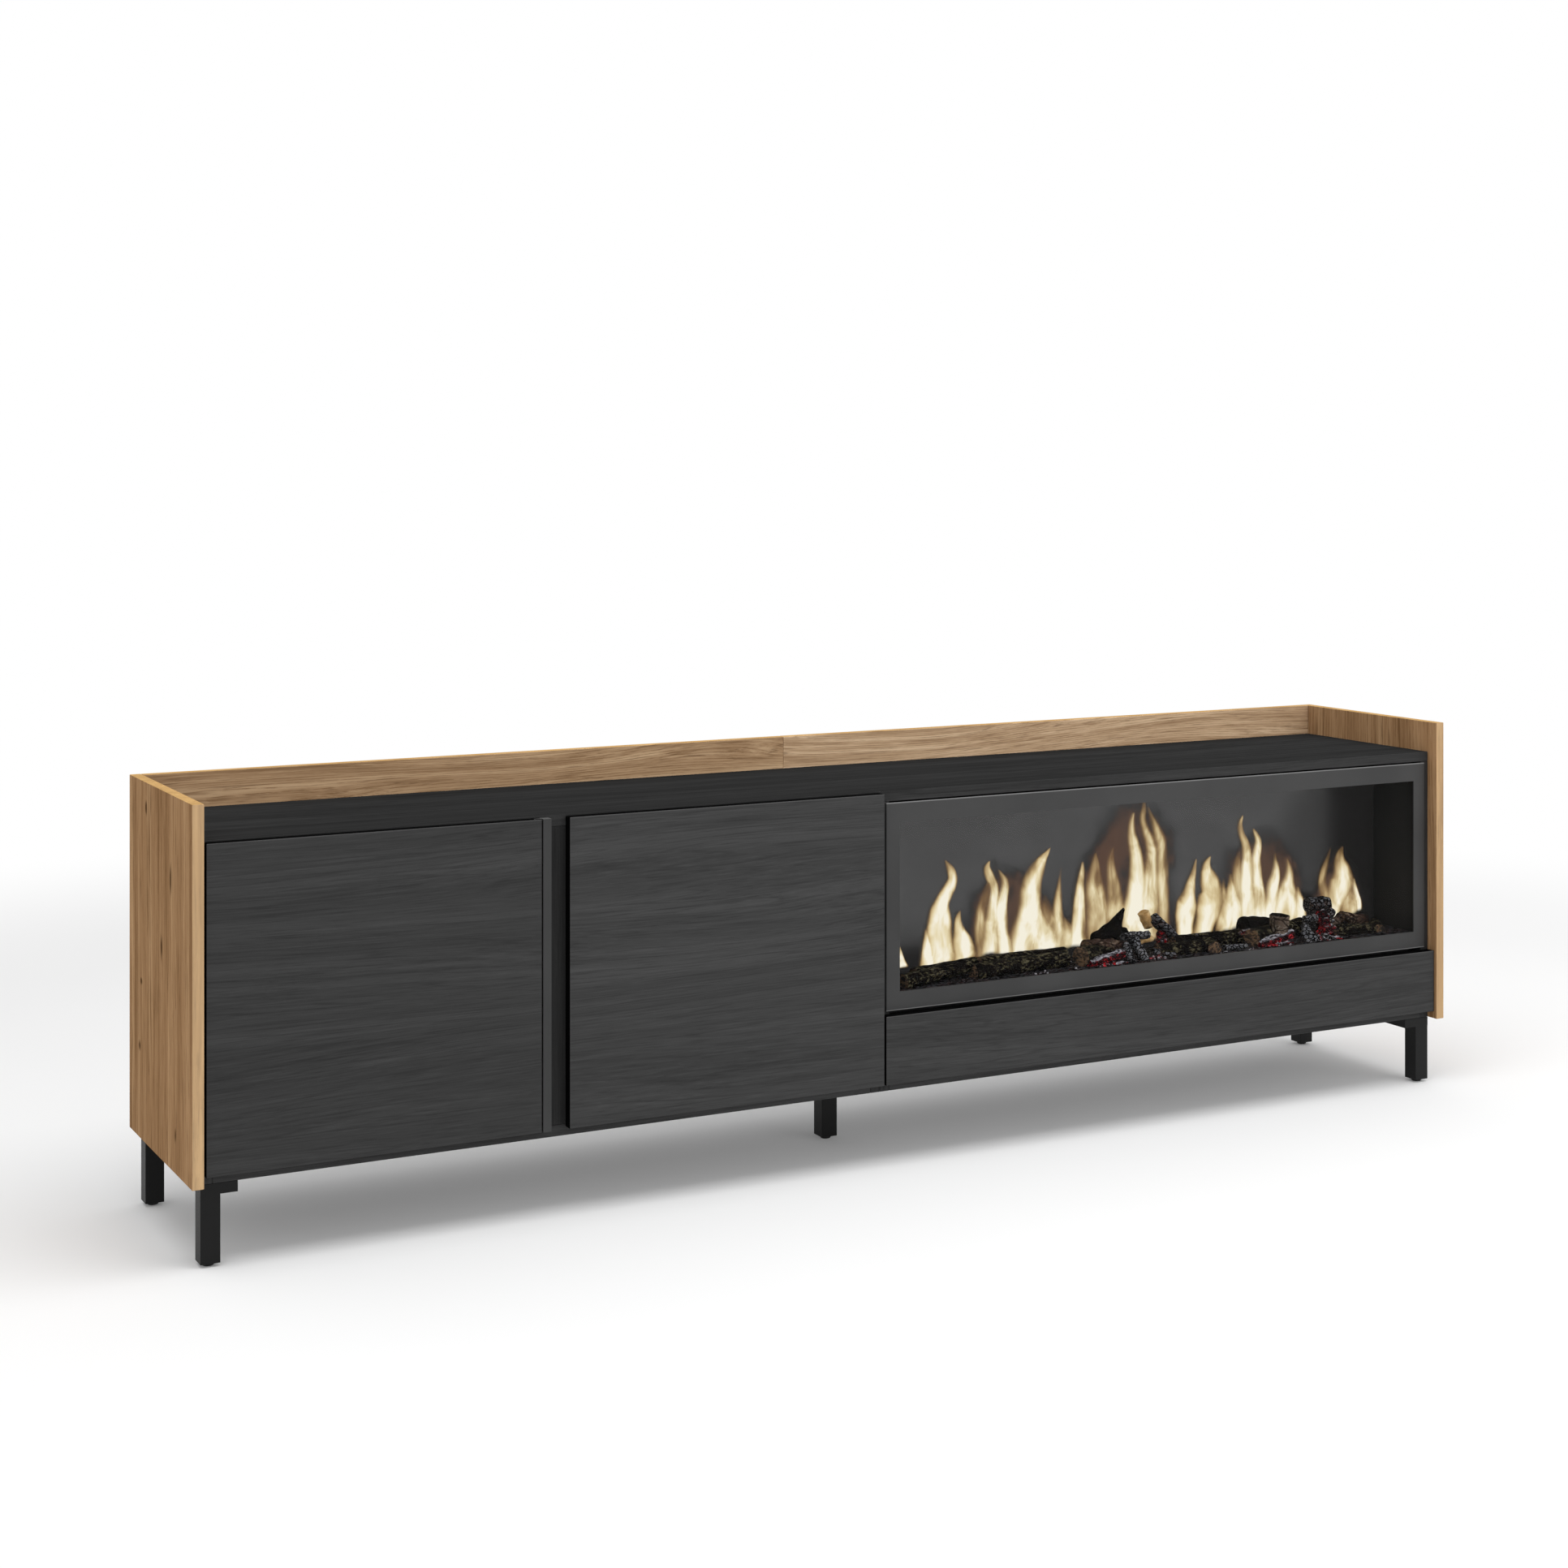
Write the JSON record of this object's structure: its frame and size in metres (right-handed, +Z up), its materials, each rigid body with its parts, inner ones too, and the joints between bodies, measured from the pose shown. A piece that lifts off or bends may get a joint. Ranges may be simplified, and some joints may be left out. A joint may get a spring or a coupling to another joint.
{
  "type": "tv stand",
  "caption": "Low dark sideboard for a television with oak end panels and gallery, hinged doors, an electric fireplace over a drawer, and square legs.",
  "frame": {"origin": "on the floor, under the middle of the outline", "axes": "+X along the length towards the fireplace end, +Y towards the back, +Z up; the front looks towards -Y"},
  "size_m": [2, 0.327, 0.573],
  "materials": {
    "oak": "light oak decor, satin",
    "dark_wood": "black textured wood grain",
    "hardboard": "black hardboard",
    "drawer_board": "grey foil",
    "grip_metal": "black anodised look, satin",
    "leg_steel": "black powder coat",
    "foot_plastic": "matt black",
    "nickel": "nickel plated",
    "zinc": "zinc plated",
    "bezel_black": "smooth dark grey lacquer",
    "casing_black": "matt black",
    "glass": "clear toughened glass",
    "smoked_acrylic": "smoked, semi-mirrored",
    "charred_logs": "moulded charred logs and embers",
    "light_bar": "warm light strip",
    "reflector": "bright foil",
    "black_plastic": "matt black"
  },
  "bodies": {
    "cabinet": {"left_side_panel": "oak", "right_side_panel": "oak", "gallery_left": "oak", "gallery_right": "oak", "left_module_outer_side": "dark_wood", "left_module_inner_side": "dark_wood", "left_module_bottom": "dark_wood", "left_module_partition": "dark_wood", "left_module_centre_stile": "dark_wood", "left_module_top": "dark_wood", "left_shelf": "dark_wood", "right_shelf": "dark_wood", "left_module_back": "hardboard", "right_module_inner_side": "dark_wood", "right_module_outer_side": "dark_wood", "right_module_bottom": "dark_wood", "fireplace_shelf": "dark_wood", "right_module_top": "dark_wood", "right_module_back": "hardboard", "left_door_hinge_arm_lower": "nickel", "left_door_hinge_arm_upper": "nickel", "right_door_hinge_arm_lower": "nickel", "right_door_hinge_arm_upper": "nickel", "drawer_runner_left": "zinc", "drawer_runner_right": "zinc", "fireplace_bezel": "bezel_black", "fireplace_glass": "glass", "fireplace_casing": "casing_black", "log_bed": "charred_logs", "flame_screen": "smoked_acrylic", "led_bar": "light_bar", "spindle_bearing": "black_plastic", "spindle_motor": "zinc", "control_unit": "black_plastic", "power_inlet": "black_plastic", "front_left_leg": "leg_steel", "rear_left_leg": "leg_steel", "front_right_leg": "leg_steel", "rear_right_leg": "leg_steel", "middle_leg": "leg_steel", "front_left_foot": "foot_plastic", "rear_left_foot": "foot_plastic", "front_right_foot": "foot_plastic", "rear_right_foot": "foot_plastic", "middle_foot": "foot_plastic"},
    "left_door": {"left_door": "dark_wood", "left_door_grip_profile": "grip_metal", "left_door_hinge_cup_lower": "nickel", "left_door_hinge_cup_upper": "nickel"},
    "right_door": {"right_door": "dark_wood", "right_door_hinge_cup_lower": "nickel", "right_door_hinge_cup_upper": "nickel"},
    "drawer": {"drawer_front": "dark_wood", "drawer_left_side": "drawer_board", "drawer_right_side": "drawer_board", "drawer_back": "drawer_board", "drawer_bottom": "drawer_board", "drawer_rail_left": "zinc", "drawer_rail_right": "zinc"},
    "spindle": {"flicker_spindle": "reflector"}
  },
  "joints": [
    {"name": "left_door_hinge", "type": "hinge", "parent": "cabinet", "child": "left_door", "pos_m": [-0.9783, -0.1563, 0.319], "axis": [0, 0, -1], "range_deg": [0, 95]},
    {"name": "right_door_hinge", "type": "hinge", "parent": "cabinet", "child": "right_door", "pos_m": [-0.0275, -0.1563, 0.319], "axis": [0, 0, 1], "range_deg": [0, 90]},
    {"name": "drawer_slide", "type": "slide", "parent": "cabinet", "child": "drawer", "axis": [0, -1, 0], "range_m": [0, 0.19]},
    {"name": "spindle_spin", "type": "hinge", "parent": "cabinet", "child": "spindle", "pos_m": [0.48, 0.0175, 0.2628], "axis": [1, 0, 0], "continuous": true}
  ]
}
